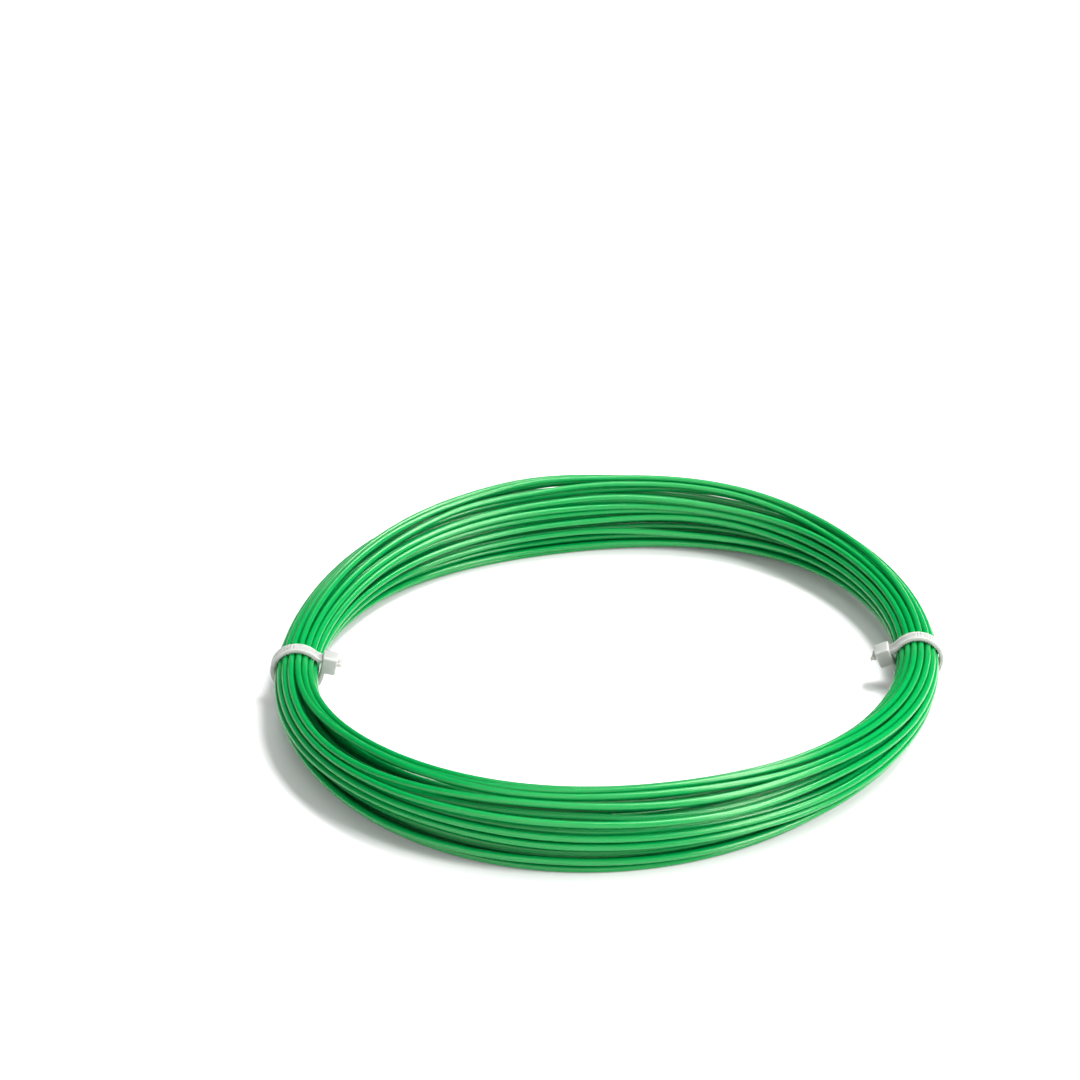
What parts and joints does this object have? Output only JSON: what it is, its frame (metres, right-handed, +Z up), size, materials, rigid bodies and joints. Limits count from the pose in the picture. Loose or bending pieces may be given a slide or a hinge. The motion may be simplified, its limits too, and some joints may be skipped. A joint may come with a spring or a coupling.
{
  "type": "coil of racket string",
  "caption": "Bare round coil of glossy green racket string, held by small translucent cable ties with locking heads on the inner side.",
  "frame": {"origin": "middle of the coil, on the surface that it lies on", "axes": "+Z up, square to the coil's plane; the ties sit near -X (left) and +X (right), and -Y is the side nearest the viewer"},
  "size_m": [0.1337, 0.1315, 0.0166],
  "materials": {
    "green_string": "glossy extruded polyester monofilament, slightly translucent",
    "natural_nylon": "milky, translucent natural nylon, satin from the mould"
  },
  "bodies": {
    "coil": {"string_coil": "green_string"},
    "left_tie": {"left_tie": "natural_nylon"},
    "left_pawl": {"left_tie_pawl": "natural_nylon"},
    "right_tie": {"right_tie": "natural_nylon"},
    "right_pawl": {"right_tie_pawl": "natural_nylon"}
  },
  "joints": [
    {"name": "left_tie_roll", "type": "hinge", "parent": "coil", "child": "left_tie", "pos_m": [-0.06156, -0.00463, 0.0062], "axis": [0.0183, -0.9998, 0], "range_deg": [-40, 195]},
    {"name": "left_pawl_flex", "type": "hinge", "parent": "left_tie", "child": "left_pawl", "pos_m": [-0.05577, -0.00452, 0.00685], "axis": [-0.0183, 0.9998, 0], "range_deg": [0, 12], "stiffness_Nm_per_rad": 0.0005},
    {"name": "right_tie_roll", "type": "hinge", "parent": "coil", "child": "right_tie", "pos_m": [0.06146, 0, 0.0062], "axis": [0.0598, 0.9982, 0], "range_deg": [-30, 205]},
    {"name": "right_pawl_flex", "type": "hinge", "parent": "right_tie", "child": "right_pawl", "pos_m": [0.05565, 0.00035, 0.00594], "axis": [-0.0598, -0.9982, 0], "range_deg": [0, 12], "stiffness_Nm_per_rad": 0.0005}
  ]
}
